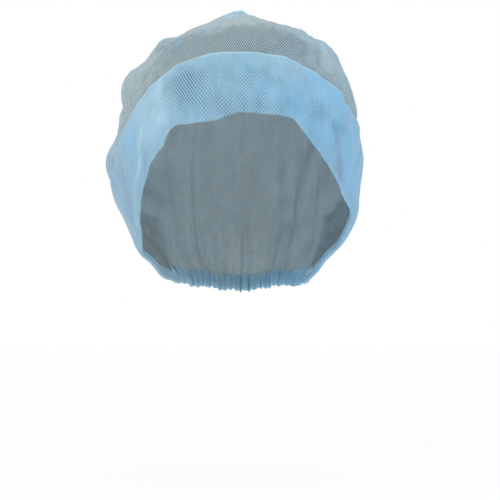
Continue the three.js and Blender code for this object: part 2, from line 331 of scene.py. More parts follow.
def threadPart(path, radius, sides=5):
    # A thread along a path of points.
    aside = [0.31, 0.47, 0.82]  # a direction in which no thread runs
    ahead = np.gradient(path, axis=0)
    ahead /= np.linalg.norm(ahead, axis=1, keepdims=True) + 1e-12
    across = np.cross(ahead, np.cross(ahead, aside))
    across /= np.linalg.norm(across, axis=1, keepdims=True) + 1e-12
    turn = -2 * np.pi * np.arange(sides) / sides
    ring = radius * np.stack([np.cos(turn), np.sin(turn)], axis=-1)
    return sweepPart(path, across, np.cross(across, ahead), ring)


def makePiece(name, parts, finish, smoothBelow=50):
    points, faces, cloth, stretchAndPaintedLight, start = [], [], [], [], 0
    for partPoints, partFaces, partCloth, partStretchAndPaintedLight in parts:
        points.append(partPoints)
        cloth.append(partCloth)
        stretchAndPaintedLight.append(partStretchAndPaintedLight)
        faces += [[corner + start for corner in face] for face in partFaces]
        start += len(partPoints)
    mesh = bpy.data.meshes.new(name)
    mesh.from_pydata(np.concatenate(points).tolist(), [], faces)
    corners = np.zeros(len(mesh.loops), int)
    mesh.loops.foreach_get("vertex_index", corners)
    for layer, values in (("cloth", cloth), ("stretchAndPaintedLight", stretchAndPaintedLight)):
        values = np.concatenate(values)[corners].astype(np.float32).ravel()
        mesh.uv_layers.new(name=layer).data.foreach_set("uv", values)
    mesh.shade_smooth()
    mesh.set_sharp_from_angle(angle=math.radians(smoothBelow))
    mesh.materials.append(finish)
    piece = bpy.data.objects.new(name, mesh)
    bpy.context.scene.collection.objects.link(piece)
    return piece


# Materials.
class Wire:
    # A node's output, which takes part in arithmetic.
    def __init__(self, finish, socket):
        self.finish, self.socket = finish, socket

    def maths(self, operation, *values):
        return self.finish.add("ShaderNodeMath", {"operation": operation}, dict(enumerate(values)))

    def __add__(self, other):
        return self.maths("ADD", self, other)

    def __radd__(self, other):
        return self.maths("ADD", other, self)

    def __sub__(self, other):
        return self.maths("SUBTRACT", self, other)

    def __rsub__(self, other):
        return self.maths("SUBTRACT", other, self)

    def __mul__(self, other):
        return self.maths("MULTIPLY", self, other)

    def __rmul__(self, other):
        return self.maths("MULTIPLY", other, self)

    def cosine(self):
        return self.maths("COSINE", self)

    def between(self, low, high):  # 0 below low, 1 above high, smooth in between
        return self.finish.add("ShaderNodeMapRange", {"interpolation_type": "SMOOTHSTEP"},
                               {"Value": self, "From Min": low, "From Max": high})

    def output(self, name):
        return Wire(self.finish, self.socket.node.outputs[name])


class Finish:
    # A material and the one way that its nodes are added.
    def __init__(self, name):
        self.material = bpy.data.materials.new(name)
        self.material.use_nodes = True
        self.tree = self.material.node_tree
        self.tree.nodes.clear()

    def add(self, kind, settings=None, sockets=None, output=0):
        node = self.tree.nodes.new(kind)
        for key, value in (settings or {}).items():
            setattr(node, key, value)
        for key, value in (sockets or {}).items():
            if isinstance(value, Wire):
                self.tree.links.new(value.socket, node.inputs[key])
            else:
                node.inputs[key].default_value = value
        return Wire(self, node.outputs[output]) if node.outputs else None

    def mixed(self, factor, first, second, how="MIX"):
        return self.add("ShaderNodeMix", {"data_type": "RGBA", "blend_type": how, "clamp_result": False},
                        {0: factor, 6: first, 7: second}, output=2)

    def mapped(self, name):  # a place on the flat cloth, or its stretch and painted light
        return self.add("ShaderNodeUVMap", {"uv_map": name})

    def parts(self, vector):
        return self.add("ShaderNodeSeparateXYZ", None, {"Vector": vector})

    def noise(self, place, size, detail=2):  # 0 to 1, its features about size across
        return self.add("ShaderNodeTexNoise", {"noise_dimensions": "3D"},
                        {"Vector": place, "Scale": 1 / size, "Detail": detail})

    def bumps(self, height, strength, distance):
        values = {"Strength": strength, "Distance": distance, "Height": height}
        return self.add("ShaderNodeBump", None, values)

    def joined(self, factor, first, second):
        return self.add("ShaderNodeMixShader", None, {0: factor, 1: first, 2: second})

    def surface(self, shader):
        self.add("ShaderNodeOutputMaterial", None, {"Surface": shader})
        return self.material


def colour(red, green, blue):
    return (red, green, blue, 1)


# In both looks the edge colour paints highlights and the shade colour paints shade into the holes. The colour
# for negative tones is a bluer, paler tint on the crown and painted shade on the cuff.
crownLook = dict(
    strand=colour(0.48, 0.59, 0.61), cool=colour(0.435, 0.57, 0.65), shade=colour(0.055, 0.075, 0.085),
    blueTintAndPaintedShade=colour(0.425, 0.645, 0.79), edge=colour(0.47, 0.70, 0.82),
    letsThrough=0.25, through=colour(0.57, 0.72, 0.79),
    pitch=1.5 * mm, lean=29, pullFrom=-80 * mm, pullTo=50 * mm, pull=0.6, open=0.2, closed=1.7,
    softness=0.55, patchy=0.9, patchSize=7 * mm, depth=1.0, smoothDepth=0.1, strandCover=0.93,
    holeCover=0.3, cloud=0.11, cloudSize=15 * mm, streak=0.2, streakWidth=1.6 * mm, streakLength=9,
    fibre=0.24, fibreSize=1.1 * mm, relief=0.12 * mm, roughness=0.85, sheen=0.15,
)
cuffLook = dict(
    strand=colour(0.31, 0.53, 0.675), cool=colour(0.26, 0.535, 0.78), shade=colour(0.06, 0.14, 0.22),
    blueTintAndPaintedShade=colour(0.24, 0.40, 0.57), edge=colour(0.46, 0.68, 0.80),
    letsThrough=0.12, through=colour(0.42, 0.62, 0.74),
    pitch=1.75 * mm, lean=44, pullFrom=-70 * mm, pullTo=40 * mm, pull=0.75, open=0.5, closed=1.8,
    softness=0.5, patchy=0.8, patchSize=9 * mm, depth=0.9, smoothDepth=0.03, strandCover=1.0,
    holeCover=0.7, cloud=0.09, cloudSize=18 * mm, streak=0.14, streakWidth=1.8 * mm, streakLength=10,
    fibre=0.2, fibreSize=1.1 * mm, relief=0.1 * mm, roughness=0.8, sheen=0.2,
)
# The same for both cloths: how the net wanders, how its hue drifts over the cap from side to side, and
# how much each of its features shows in the relief.
netWander = dict(bend=2.5, bendSize=14 * mm, pull=1.1, pullSize=22 * mm, dipFrom=-1.4, dipTo=1.6)
hueDrift = dict(clouds=0.7, sideways=0.3, sideFrom=-20 * mm, sideTo=70 * mm, low=0.35, high=0.65)
clothRelief = dict(fibres=0.5, streaks=0.6, dips=0.8, strength=0.5)


def clothFinish(name, look):
    # Perforated nonwoven: a slanted lattice of small holes that open where the cloth is stretched.
    finish = Finish(name)
    place = finish.mapped("cloth")
    across = finish.parts(place)
    up = across.output("Y")
    stretchAndPaintedLight = finish.parts(finish.mapped("stretchAndPaintedLight"))
    paintedLight = stretchAndPaintedLight.output("Y")  # a painted highlight where positive; where negative, painted shade on the cuff and a bluer tint on the crown
    patches = finish.noise(place, look["patchSize"], detail=1)
    stretched = (stretchAndPaintedLight + (patches - 0.5) * look["patchy"]).between(0, 1)
    side = finish.parts(finish.add("ShaderNodeTexCoord", output="Object"))
    pull = (side.between(look["pullFrom"], look["pullTo"]) - 0.5) * look["pull"]
    pull = pull + (finish.noise(place, netWander["pullSize"]) - 0.5) * netWander["pull"]
    bend = finish.noise(place, netWander["bendSize"], detail=1) * netWander["bend"]
    lean = math.radians(look["lean"])
    turns = 2 * math.pi / look["pitch"]
    rising = (across * math.cos(lean) + up * math.sin(lean)) * turns + bend
    falling = (up * math.sin(lean) - across * math.cos(lean)) * turns + bend
    # 2 in the middle of a hole, -2 where strands cross. Pulled aslant, the strands one way stand out.
    net = rising.cosine() * (1 - pull) + falling.cosine() * (1 + pull)
    edge = look["closed"] - stretched * (look["closed"] - look["open"])
    hole = net.between(edge - look["softness"], edge + look["softness"])
    fibres = finish.noise(place, look["fibreSize"], detail=4)
    clouds = finish.noise(place, look["cloudSize"])
    lengthened = {"Vector": place, "Scale": (1, 1 / look["streakLength"], 1)}
    streaks = finish.noise(finish.add("ShaderNodeMapping", None, lengthened), look["streakWidth"])
    tone = (1 + (clouds - 0.5) * 2 * look["cloud"] + (fibres - 0.5) * 2 * look["fibre"]
            + (streaks - 0.5) * 2 * look["streak"])
    hue = finish.noise(place, 2 * look["cloudSize"], detail=1) * hueDrift["clouds"]
    hue = hue + side.between(hueDrift["sideFrom"], hueDrift["sideTo"]) * hueDrift["sideways"]
    hue = hue.between(hueDrift["low"], hueDrift["high"])
    ground = finish.mixed(hue, look["strand"], look["cool"])
    # Painted light: where the tone is negative the cuff gets painted shade and the crown a bluer, paler tint;
    # where it is positive the edge colour paints a highlight.
    ground = finish.mixed((paintedLight * -1).between(0, 1), ground, look["blueTintAndPaintedShade"])
    ground = finish.mixed(paintedLight.between(0, 1), ground, look["edge"])
    # The holes are painted towards the shade colour: painted shade for the dark that shows through them.
    deep = look["smoothDepth"] + stretched * (look["depth"] - look["smoothDepth"])
    dips = net.between(netWander["dipFrom"], netWander["dipTo"]) * deep
    tint = finish.mixed(1, finish.mixed(dips, ground, look["shade"]), tone, "MULTIPLY")
    cover = look["strandCover"] + hole * (look["holeCover"] - look["strandCover"])
    raised = (fibres * clothRelief["fibres"] + streaks * clothRelief["streaks"]
              - dips * clothRelief["dips"])
    bump = finish.bumps(raised, clothRelief["strength"], look["relief"])
    shader = finish.add("ShaderNodeBsdfPrincipled", None, {
        "Base Color": tint, "Alpha": cover, "Normal": bump, "Roughness": look["roughness"],
        "Sheen Weight": look["sheen"], "Sheen Roughness": 0.5, "Specular IOR Level": 0.25})
    glow = finish.add("ShaderNodeBsdfTranslucent", None, {"Color": look["through"]})
    return finish.surface(finish.joined(look["letsThrough"], shader, glow))


threadLook = dict(light=colour(0.56, 0.76, 0.87), dark=colour(0.34, 0.54, 0.68), rib=1.1 * mm, slant=1.0,
                  roughness=0.6)
elasticLook = dict(light=colour(0.84, 0.85, 0.82), dark=colour(0.55, 0.57, 0.56), rib=1.1 * mm, slant=0.6,
                   roughness=0.7)
# The same for thread and elastic: the loose fibres over their ribs.
fuzzLook = dict(size=0.3 * mm, share=0.3, raised=0.4, strength=0.8, relief=0.1 * mm)
ridgeLook = dict(light=colour(0.34, 0.46, 0.53), dark=colour(0.28, 0.38, 0.44),
                 tuft=colour(0.43, 0.63, 0.74), cloudSize=2.2 * mm, low=0.35, high=0.65,
                 fibreSize=0.5 * mm, fibre=0.14, raised=0.5, strength=0.7, relief=0.2 * mm, roughness=0.85)


def stripedFinish(name, look):
    # Fine slanted ribs: the twist of a thread, or the plait of an elastic.
    finish = Finish(name)
    place = finish.mapped("cloth")
    along = finish.parts(place)
    ribs = ((along + along.output("Y") * look["slant"]) * (2 * math.pi / look["rib"])).cosine() * 0.5 + 0.5
    fuzz = finish.noise(place, fuzzLook["size"], detail=3)
    pale = ribs * (1 - fuzzLook["share"]) + fuzz * fuzzLook["share"]
    raised = ribs + fuzz * fuzzLook["raised"]
    shader = finish.add("ShaderNodeBsdfPrincipled", None, {
        "Base Color": finish.mixed(pale, look["dark"], look["light"]),
        "Normal": finish.bumps(raised, fuzzLook["strength"], fuzzLook["relief"]),
        "Roughness": look["roughness"], "Sheen Weight": 0.2})
    return finish.surface(shader)


def ridgeFinish(name, look):
    # Several plies rolled together, too thick to see through, and paler where they bunch at the top.
    finish = Finish(name)
    place = finish.mapped("cloth")
    clouds = finish.noise(place, look["cloudSize"], detail=3)
    fibres = finish.noise(place, look["fibreSize"], detail=4)
    ridge = finish.mixed(clouds.between(look["low"], look["high"]), look["dark"], look["light"])
    bunched = finish.parts(place).output("Y").between(0.9, 1.1)  # the tuft's cloth lies beyond a metre
    tint = finish.mixed(bunched, ridge, look["tuft"])
    tone = 1 - look["fibre"] + fibres * (2 * look["fibre"])
    shader = finish.add("ShaderNodeBsdfPrincipled", None, {
        "Base Color": finish.mixed(1, tint, tone, "MULTIPLY"),
        "Normal": finish.bumps(clouds + fibres * look["raised"], look["strength"], look["relief"]),
        "Roughness": look["roughness"], "Sheen Weight": 0.2})
    return finish.surface(shader)


crownCloth = clothFinish("crownCloth", crownLook)
cuffCloth = clothFinish("cuffCloth", cuffLook)
thread = stripedFinish("stitchingThread", threadLook)
braid = stripedFinish("braidedElastic", elasticLook)
ridgeCloth = ridgeFinish("rolledSeamCloth", ridgeLook)
print("materials done")

# The two crown panels.
crown = dict(offset=0.5 * mm, thickness=0.35 * mm, columns=190, rows=130, topLatitude=89.2,
             intoCasing=1.8 * mm, casingHeight=10 * mm, casingStep=2, front=(0, 55), rear=(180, 20),
             stretched=0.45)
crownStretch = [
    dict(azimuth=18, latitude=50, across=42, up=9, more=0.6),
    dict(azimuth=-42, latitude=44, across=20, up=10, more=0.38),
    dict(azimuth=50, latitude=38, across=14, up=10, more=0.2),
    dict(azimuth=0, latitude=80, across=60, up=14, more=-0.5),
    dict(azimuth=-28, latitude=66, across=16, up=7, more=-0.3),
    dict(azimuth=-84, latitude=42, across=18, up=24, more=-0.5),
    dict(azimuth=80, latitude=44, across=26, up=24, more=-0.55),
    dict(azimuth=66, latitude=38, across=10, up=12, more=-0.45),
    dict(azimuth=-108, latitude=5, across=24, up=22, more=-0.5),
]
# Painted light on the crown: painted highlights where positive, on small folds and near the top, and a bluer,
# paler tint where negative.
crownHighlightsAndBlueTint = [
    dict(azimuth=-35, latitude=81.5, across=5.5, up=2.6, more=1.0),
    dict(azimuth=50, latitude=83, across=6, up=2.4, more=0.8),
    dict(azimuth=-80, latitude=52, across=7, up=3, more=0.6),
    dict(azimuth=-50, latitude=47, across=20, up=10, more=0.35),
    dict(azimuth=-102, latitude=-3, across=20, up=13, more=-1.2),
    dict(azimuth=75, latitude=42, across=14, up=22, more=-0.7),
    dict(azimuth=-90, latitude=25, across=12, up=25, more=-0.3),
]


def flatPlace(azimuth, latitude, centre):
    # Where a point lies on the cloth when it is laid flat about the middle of its panel.
    aim = direction(*[np.float64(part) for part in centre])
    right = direction(np.float64(centre[0] + 90), np.float64(0))
    upward = np.cross(aim, right)
    way = direction(azimuth, latitude)
    angle = np.arccos(np.clip(way @ aim, -1, 1))
    reach = headRadius * angle / np.maximum(np.sin(angle), 1e-6)
    return np.stack([reach * (way @ right), reach * (way @ upward)], axis=-1)


def crownPanel(name, first, last, side, centre):
    azimuth = np.linspace(first, last, crown["columns"])
    low = edgeLatitude(azimuth)
    # At the casing the panel stops short, with its edge held between the casing's two plies.
    over = np.clip((abs(signed(azimuth)) - casingStart) / crown["casingStep"] + 0.5, 0, 1)
    low = low + over * upTheHead(crown["casingHeight"] - crown["intoCasing"])
    share = np.linspace(0, 1, crown["rows"])[:, None]
    latitude = low + share * (crown["topLatitude"] - low)
    azimuth = np.broadcast_to(azimuth, latitude.shape)
    points = worn(azimuth, latitude, crown["offset"], side)
    # The second channel is painted light: painted highlights where it is positive, a bluer, paler tint where
    # it is negative.
    stretchAndPaintedLight = np.stack([patchesAt(azimuth, latitude, crown["stretched"], crownStretch),
                     patchesAt(azimuth, latitude, 0, crownHighlightsAndBlueTint)
                     + creasePaintedLight(headRadius * direction(azimuth, latitude), creases)], axis=-1)
    part = sheetPart(points, flatPlace(azimuth, latitude, centre), crown["thickness"], stretchAndPaintedLight)
    return makePiece(name, [part], crownCloth), points


frontPanel, frontPoints = crownPanel("crown_front_cloth", -90, 90, 1, crown["front"])
rearPanel, rearPoints = crownPanel("crown_rear_cloth", 90, 270, -1, crown["rear"])
print("crown panels done")

# The cuff: one strip that turns under the lower edge, runs up the outside, folds over and comes back
# down inside.
cuff = dict(thickness=0.35 * mm, columns=250, plyRows=30, inside=1.8 * mm, outside=3.5 * mm,
            innerStop=1 * mm, allowance=4.5 * mm, allowanceOffset=-0.4 * mm, turnDrop=1.6 * mm,
            endAzimuth=131.6, flare=1.2 * mm, flareUneven=0.5 * mm, flareWavelength=55 * mm,
            rolledIn=1.1 * mm, rollHeight=8 * mm, ownWave=0.2 * mm, ownWavelength=14 * mm, puff=0.8 * mm,
            # The folded top edge and the hem's turn get a painted highlight, the rim painted shade, over
            # these heights.
            stretched=0.2, patternRound=0.95, paintedLight=1.0, hemPaintedHighlight=0.5, rimPaintedShade=-0.35,
            foldPaintedHighlightHeight=1.6 * mm, hemPaintedHighlightHeight=1 * mm, rimPaintedShadeHeight=6 * mm)
cuffStretch = [
    dict(azimuth=-27, latitude=25, across=9, up=7, more=0.68),
    dict(azimuth=36, latitude=16, across=5, up=7, more=0.35),
    dict(azimuth=50, latitude=9, across=5, up=4, more=0.28),
    dict(azimuth=0, latitude=29, across=26, up=8, more=0.35),
    dict(azimuth=-5, latitude=17, across=34, up=5, more=0.35),
    dict(azimuth=-75, latitude=0, across=22, up=40, more=-0.5),
    dict(azimuth=80, latitude=0, across=25, up=40, more=-0.5),
    dict(azimuth=45, latitude=30, across=16, up=12, more=-0.3),
]
# Painted light on the cuff: a painted highlight at azimuth -42 and painted shade on the side at azimuth -80.
cuffPaintedLight = [
    dict(azimuth=-42, latitude=14, across=16, up=16, more=0.5),
    dict(azimuth=-80, latitude=-2, across=18, up=26, more=-0.45),
]
# Creases in the cuff's outer ply. A negative depth is a ridge; a positive tone paints a highlight along the
# line and a negative one paints shade.
cuffCreases = [
    dict(through=[(-50, 8), (-52, 3), (-55, -2)], wide=2.4 * mm, deep=-0.6 * mm, tone=0.45),
    dict(through=[(-56, -3), (-62, -8), (-73, -16), (-81, -22)], wide=1.9 * mm, deep=-1.6 * mm, tone=0.9),
    dict(through=[(-50, 0), (-56, -8), (-67, -16), (-76, -23)], wide=2.4 * mm, deep=0.8 * mm, tone=-0.5),
    dict(through=[(-70, 0), (-74, -12), (-82, -20)], wide=5 * mm, deep=0.9 * mm, tone=-0.2),
    dict(through=[(47, 10), (50, 5), (57, -3), (62, -8)], wide=3 * mm, deep=1.5 * mm, tone=-0.55),
    dict(through=[(60, 4), (66, -6), (72, -14)], wide=4 * mm, deep=-0.8 * mm, tone=0.25),
    dict(through=[(-12, 30), (-10, 22)], wide=5 * mm, deep=0.9 * mm),
    dict(through=[(-36, 11), (-40, 20), (-44, 27)], wide=4.5 * mm, deep=0.9 * mm, tone=0.2),
    dict(through=[(27, 11), (32, 19), (42, 26)], wide=5 * mm, deep=0.7 * mm, tone=0.15),
    dict(through=[(104, -14), (110, -30)], wide=5 * mm, deep=1.3 * mm, tone=-0.3),
    dict(through=[(-108, -16), (-116, -34)], wide=5 * mm, deep=1.5 * mm, tone=-0.3),
]


def cuffSection(tall):
    # (offset, height above the lower edge) down the strip, for a cuff of this height.
    outsideLow = cuff["outside"] - cuff["rolledIn"]
    middle = (cuff["allowanceOffset"] + outsideLow) / 2
    radius = (outsideLow - cuff["allowanceOffset"]) / 2
    under = [(middle + radius * math.cos(turn), cuff["turnDrop"] * math.sin(turn))
             for turn in np.radians(np.linspace(180, 360, 8))]
    top = (cuff["inside"] + cuff["outside"]) / 2
    half = (cuff["outside"] - cuff["inside"]) / 2
    over = [(top + half * math.cos(turn), tall - half + half * math.sin(turn))
            for turn in np.radians(np.linspace(0, 180, 7))]
    upTo = np.linspace(0, 1, cuff["plyRows"])
    outer = [(cuff["outside"] - cuff["rolledIn"] * math.exp(-(share * tall / cuff["rollHeight"]) ** 2),
              share * (tall - half)) for share in upTo[1:-1]]
    inner = [(cuff["inside"], tall - half - share * (tall - half - cuff["innerStop"])) for share in upTo[1:]]
    allowance = [(cuff["allowanceOffset"], cuff["allowance"] * (1 - share)) for share in (0, 0.25, 0.5, 0.75)]
    return np.array(allowance + under + outer + over + inner)


def cuffPoints():
    azimuth = np.linspace(-cuff["endAzimuth"], cuff["endAzimuth"], cuff["columns"])
    low, high = edgeLatitude(azimuth), foldLatitude(azimuth)
    tall = (high - low) / upTheHead(1)
    # Down the strip, and round the head.
    section = np.stack([cuffSection(reach) for reach in tall], axis=1)
    offset, height = section[..., 0], section[..., 1]
    latitude = low + upTheHead(height)
    share = np.clip(height / tall, 0, 1)
    place = headRadius * direction(np.broadcast_to(azimuth, latitude.shape), latitude)
    outer = np.clip((offset - cuff["inside"]) / (cuff["outside"] - cuff["inside"]), 0, 1)
    own = creased(place, cuffCreases) + cuff["ownWave"] * rolling(place, cuff["ownWavelength"], 31)
    own = own * np.sin(np.pi * share) ** 0.5 + cuff["puff"] * np.sin(np.pi * share) ** 0.8
    flare = cuff["flare"] + cuff["flareUneven"] * rolling(place, cuff["flareWavelength"], 41)
    points = worn(azimuth, latitude, offset + outer * own + flare * share ** 3)
    down = lengthsAlong(points)[-1]
    length = float(lengthsAlong(points[len(points) // 3])[-1])
    # The holes run level round the head, so the pattern isn't sheared where the strip slopes.
    level = np.stack([azimuth * cuff["patternRound"] + 0 * latitude, latitude], axis=-1)
    stretch = patchesAt(azimuth, latitude, cuff["stretched"], cuffStretch)
    # Painted light: along creases and patches, a painted highlight on the folded top edge and the turn of the
    # hem, and painted shade along the rim.
    tone = creasePaintedLight(place, cuffCreases) + patchesAt(azimuth, latitude, 0, cuffPaintedLight)
    tone += cuff["paintedLight"] * np.exp(-((tall - height) / cuff["foldPaintedHighlightHeight"]) ** 2)
    tone += cuff["hemPaintedHighlight"] * np.exp(-((height + cuff["turnDrop"]) / cuff["hemPaintedHighlightHeight"]) ** 2)
    tone += cuff["rimPaintedShade"] * np.exp(-(height / cuff["rimPaintedShadeHeight"]) ** 2)
    return points, headRadius * np.radians(level), np.stack([stretch, tone], axis=-1), down, length


points, cloth, stretchAndPaintedLight, down, length = cuffPoints()
cuffBand = makePiece("cuff_cloth", [sheetPart(points, cloth, cuff["thickness"], stretchAndPaintedLight)], cuffCloth)

# The casing at the nape, a strip folded round the elastic and sewn to the crown's edge. Its section is in
# millimetres off the head and above the edge.
casing = dict(thickness=0.35 * mm, columns=210, rows=34, endGap=0.15,
              ruffle=0.3 * mm, rufflePitch=4.3 * mm, ruffleDrift=(2, 6 * mm), ruffleHeight=9 * mm,
              section=[(1.0, 10.2), (1.9, 8.6), (3.1, 6.6), (3.3, 4.4), (2.9, 2.0), (2.0, 0.5),
                       (1.2, 0.0), (0.4, 0.5), (-0.3, 2.0), (-0.6, 4.4), (-0.55, 6.6), (-0.45, 8.6),
                       (-0.4, 10.2)])


def alongCasing(columns, gap=0.0):
    return np.linspace(casingStart + gap, 360 - casingStart - gap, columns)


def casingPlace(azimuth, offset, height):
    run = np.radians(azimuth) * head["backDepth"]
    much, slow = casing["ruffleDrift"]
    ruffle = casing["ruffle"] * np.sin(2 * np.pi * run / casing["rufflePitch"] + much * np.sin(run / slow))
    ruffle = ruffle * np.clip(1 - height / casing["ruffleHeight"], 0, 1)
    return worn(azimuth, edgeLatitude(azimuth) + upTheHead(height), offset + ruffle)


azimuth = alongCasing(casing["columns"], casing["endGap"])
stops = np.array(casing["section"]) * mm
where = np.linspace(0, len(stops) - 1, casing["rows"])
section = np.stack([np.interp(where, range(len(stops)), values) for values in stops.T], axis=-1)
points = casingPlace(azimuth[None, :], section[:, :1], section[:, 1:])
along, down = lengthsAlong(points[0]), lengthsAlong(section)
cloth = np.stack(np.meshgrid(along, down, indexing="xy"), axis=-1)
napeCasing = makePiece("nape_casing_cloth", [sheetPart(points, cloth, casing["thickness"])], cuffCloth)

# The flat elastic inside it. The lower the bluntness, the squarer its edges.
elastic = dict(height=6 * mm, thickness=0.9 * mm, offset=1.35 * mm, middle=4.6 * mm, columns=220, corners=16,
               bluntness=(0.6, 0.35))
turn = 2 * np.pi * np.arange(elastic["corners"]) / elastic["corners"]
flat, edge = elastic["bluntness"]
sideways = np.sign(np.cos(turn)) * abs(np.cos(turn)) ** flat * elastic["thickness"] / 2
upright = np.sign(np.sin(turn)) * abs(np.sin(turn)) ** edge * elastic["height"] / 2
azimuth = alongCasing(elastic["columns"])
points = casingPlace(azimuth[:, None], elastic["offset"] + sideways[None], elastic["middle"] + upright[None])
ring = np.arange(points[..., 0].size).reshape(points.shape[:2])
after = np.roll(ring, -1, axis=1)
faces = np.stack([ring[:-1], ring[1:], after[1:], after[:-1]], axis=-1).reshape(-1, 4).tolist()
faces += [ring[0].tolist(), ring[-1, ::-1].tolist()]
cloth = np.stack(np.meshgrid(lengthsAlong(points[:, 0]), upright, indexing="ij"), axis=-1).reshape(-1, 2)
napeElastic = makePiece("nape_elastic_braid", [(points.reshape(-1, 3), faces, cloth, 0 * cloth)], braid)
print("nape casing done")

# Stitching. Angles along a seam are in degrees.
stitch = dict(threadRadius=0.2 * mm, needleRadius=0.17 * mm, steps=4)


def zigzag(first, last, pitch, place, steps=stitch["steps"]):
    # A thread that swings between two lines. place(position, swing) gives its points.
    turns = max(2, int(round((last - first) / pitch)) * 2)
    where = np.linspace(first, last, turns * steps + 1)
    swing = np.cos(np.linspace(0, turns * np.pi, turns * steps + 1))
    return threadPart(place(where, swing), stitch["threadRadius"])


def offEdge(azimuth, offset, height):  # a place at a height above the lower edge
    return worn(azimuth, edgeLatitude(azimuth) + upTheHead(height), offset)


rimSeam = dict(pitch=1.44, offset=-0.85 * mm, middle=2.3 * mm, half=1.9 * mm, tilt=0.1 * mm,
               needles=(3.2 * mm, 0.9 * mm), needleOffset=-1.15 * mm, bob=0.12 * mm, bobPitch=1.2)


def rimPlace(azimuth, swing):
    return offEdge(azimuth, rimSeam["offset"] - rimSeam["tilt"] * swing,
                   rimSeam["middle"] + rimSeam["half"] * swing)


rimEnd = cuff["endAzimuth"]
parts = [zigzag(-rimEnd, rimEnd, rimSeam["pitch"], rimPlace)]
azimuth = np.linspace(-rimEnd, rimEnd, 900)
bob = rimSeam["bob"] * np.cos(2 * np.pi * azimuth / rimSeam["bobPitch"])
for height in rimSeam["needles"]:
    parts.append(threadPart(offEdge(azimuth, rimSeam["needleOffset"] + bob, height), stitch["needleRadius"]))
rimThread = makePiece("rim_seam_threads", parts, thread)

endSeam = dict(pitch=1.1 * mm, innerSide=2.0 * mm, outerSide=1.2 * mm, offset=1.0 * mm, step=3.4 * mm,
               bow=0.8 * mm, first=0.5 * mm)


def endSeamPart(side):
    azimuthEnd = side * cuff["endAzimuth"]
    low, high = edgeLatitude(azimuthEnd), foldLatitude(azimuthEnd)

    def place(height, swing):
        share = (swing + 1) / 2  # 1 on the cuff, 0 on the crown behind it
        aside = (1 - share) * endSeam["outerSide"] - share * endSeam["innerSide"]
        offset = endSeam["offset"] + share * endSeam["step"] + endSeam["bow"] * np.sin(np.pi * share)
        return worn(azimuthEnd + side * np.degrees(aside / head["halfBreadth"]),
                    low + upTheHead(height), offset)

    return zigzag(endSeam["first"], (high - low) / upTheHead(1), endSeam["pitch"], place, steps=5)


leftEnd = makePiece("left_cuff_end_stitches", [endSeamPart(1)], thread)
rightEnd = makePiece("right_cuff_end_stitches", [endSeamPart(-1)], thread)

tack = dict(first=126, last=131.4, pitch=0.75, half=2.6 * mm, middle=5.2 * mm, offset=-1.1 * mm,
            tilt=0.15 * mm)


def tackPart(side):
    def place(azimuth, swing):
        return offEdge(side * azimuth, tack["offset"] - tack["tilt"] * swing,
                       tack["middle"] + tack["half"] * swing)

    return zigzag(tack["first"], tack["last"], tack["pitch"], place)


leftTack = makePiece("left_elastic_tack_stitches", [tackPart(1)], thread)
rightTack = makePiece("right_elastic_tack_stitches", [tackPart(-1)], thread)

napeSeam = dict(stitch=2.2 * mm, space=0.5 * mm, height=8.9 * mm, outer=1.95 * mm, inner=-0.75 * mm,
                radius=90 * mm, endGap=0.8, sunk=0.35 * mm, steps=7)


def runningStitches(offset, away):
    span = np.radians(2 * (180 - casingStart)) * napeSeam["radius"]
    count = int(span / (napeSeam["stitch"] + napeSeam["space"]))
    half = np.degrees(napeSeam["stitch"] / 2 / napeSeam["radius"])
    parts = []
    for middle in alongCasing(count, napeSeam["endGap"]):
        azimuth = np.linspace(middle - half, middle + half, napeSeam["steps"])
        sunk = napeSeam["sunk"] * np.linspace(-1, 1, napeSeam["steps"]) ** 4 * away
        points = casingPlace(azimuth, offset - sunk, napeSeam["height"])
        parts.append(threadPart(points, stitch["threadRadius"]))
    return parts


parts = runningStitches(napeSeam["outer"], 1) + runningStitches(napeSeam["inner"], -1)
napeThread = makePiece("nape_seam_stitches", parts, thread)
print("stitching done")

# The crown's seam: both panels' edges rolled into a low ridge outside, with the allowance flat inside,
# and a knot of bunched cloth at the top of the head, which is several flaps. The ridge's outline is in
# shares of its half width and its rise.
crownSeam = dict(steps=420, baseHalf=2.6 * mm, baseLow=-0.55 * mm, baseTop=-0.05 * mm, half=1.15 * mm,
                 outline=[(-1, 0), (-1, 0.6), (-0.6, 0.92), (0, 1), (0.6, 0.92), (1, 0.6), (1, 0)],
                 underCuff=0.6 * mm, cuffStep=3, ridge=0.9 * mm, ridgeUneven=0.1 * mm,
                 ridgeWaves=(2.1, 0.7), stitchPitch=1.5, stitchHalf=2.2 * mm, stitchSunk=0.2 * mm)
tuft = dict(steps=40, corners=14, foot=0.3 * mm, wave=0.35 * mm, waves=9, narrowing=0.45,
            tallPower=0.55, thickPower=0.4, clothAway=1.2)
tuftFlaps = [
    dict(first=-14.5 * mm, last=-3 * mm, tall=2.7 * mm, thick=4 * mm, lean=-3.6 * mm),
    dict(first=-13 * mm, last=8 * mm, tall=3.2 * mm, thick=6.5 * mm, lean=-0.5 * mm),
    dict(first=-5 * mm, last=15 * mm, tall=2.4 * mm, thick=5.5 * mm, lean=1 * mm),
    dict(first=-9 * mm, last=3 * mm, tall=2.3 * mm, thick=4 * mm, lean=4 * mm),
]


def seamFrame(arc):
    # The path of the seam: arc is the angle from the top of the head, negative to the wearer's right.
    azimuth = np.where(arc < 0, -90.0, 90.0)
    latitude = 90 - abs(arc)
    stand = standing(azimuth, latitude)
    low = onHead(azimuth, latitude, stand, 0)
    high = onHead(azimuth, latitude, stand + 1 * mm, 0)
    out = high - low
    out /= np.linalg.norm(out, axis=1, keepdims=True)
    return low, np.tile([0, 1.0, 0], (len(arc), 1)), out


